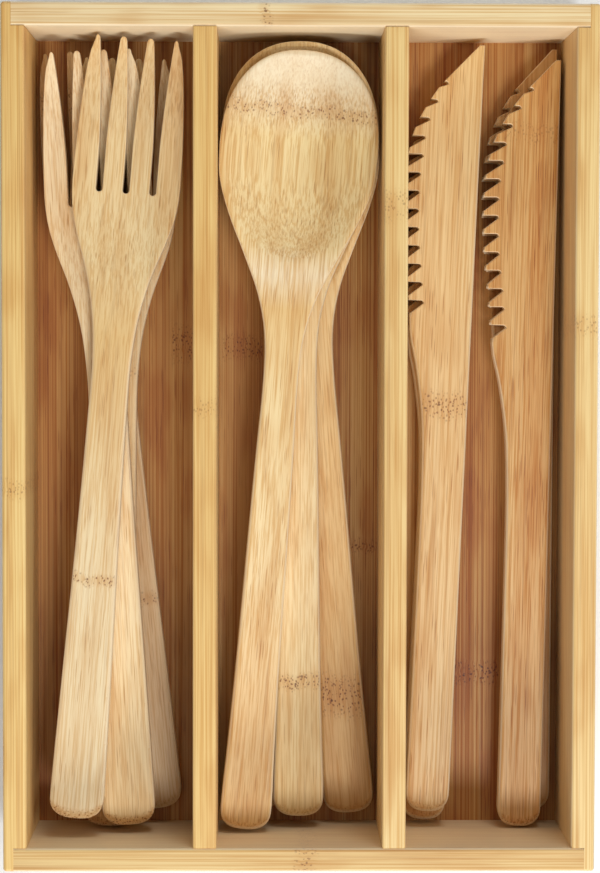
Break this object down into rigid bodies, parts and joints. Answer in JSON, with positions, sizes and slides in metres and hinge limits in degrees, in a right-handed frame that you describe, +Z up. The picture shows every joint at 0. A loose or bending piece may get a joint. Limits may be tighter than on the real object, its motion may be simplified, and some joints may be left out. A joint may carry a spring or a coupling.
{
  "type": "wooden cutlery pack",
  "caption": "Open bamboo tray with side-by-side compartments that hold loose piles of bamboo forks, spoons and serrated knives.",
  "frame": {"origin": "centre of the tray's footprint, on the surface it stands on", "axes": "+X across the compartments towards the knives, +Y along the cutlery towards the tines, bowls and blade tips, +Z up"},
  "size_m": [0.15, 0.219, 0.04],
  "materials": {
    "tray_wood": "light bamboo, satin oiled",
    "floor_wood": "carbonised bamboo, satin",
    "fork_wood": "pale bamboo, sanded",
    "spoon_wood": "pale bamboo, sanded",
    "knife_wood": "golden bamboo, sanded"
  },
  "bodies": {
    "root": {"floor_panel": "floor_wood", "wall_left": "tray_wood", "wall_right": "tray_wood", "wall_head": "tray_wood", "wall_foot": "tray_wood", "divider_1": "tray_wood", "divider_2": "tray_wood", "fork_1": "fork_wood", "fork_2": "fork_wood", "fork_3": "fork_wood", "fork_4": "fork_wood", "spoon_1": "spoon_wood", "spoon_2": "spoon_wood", "spoon_3": "spoon_wood", "spoon_4": "spoon_wood", "knife_1": "knife_wood", "knife_2": "knife_wood", "knife_3": "knife_wood", "knife_4": "knife_wood"}
  },
  "joints": []
}
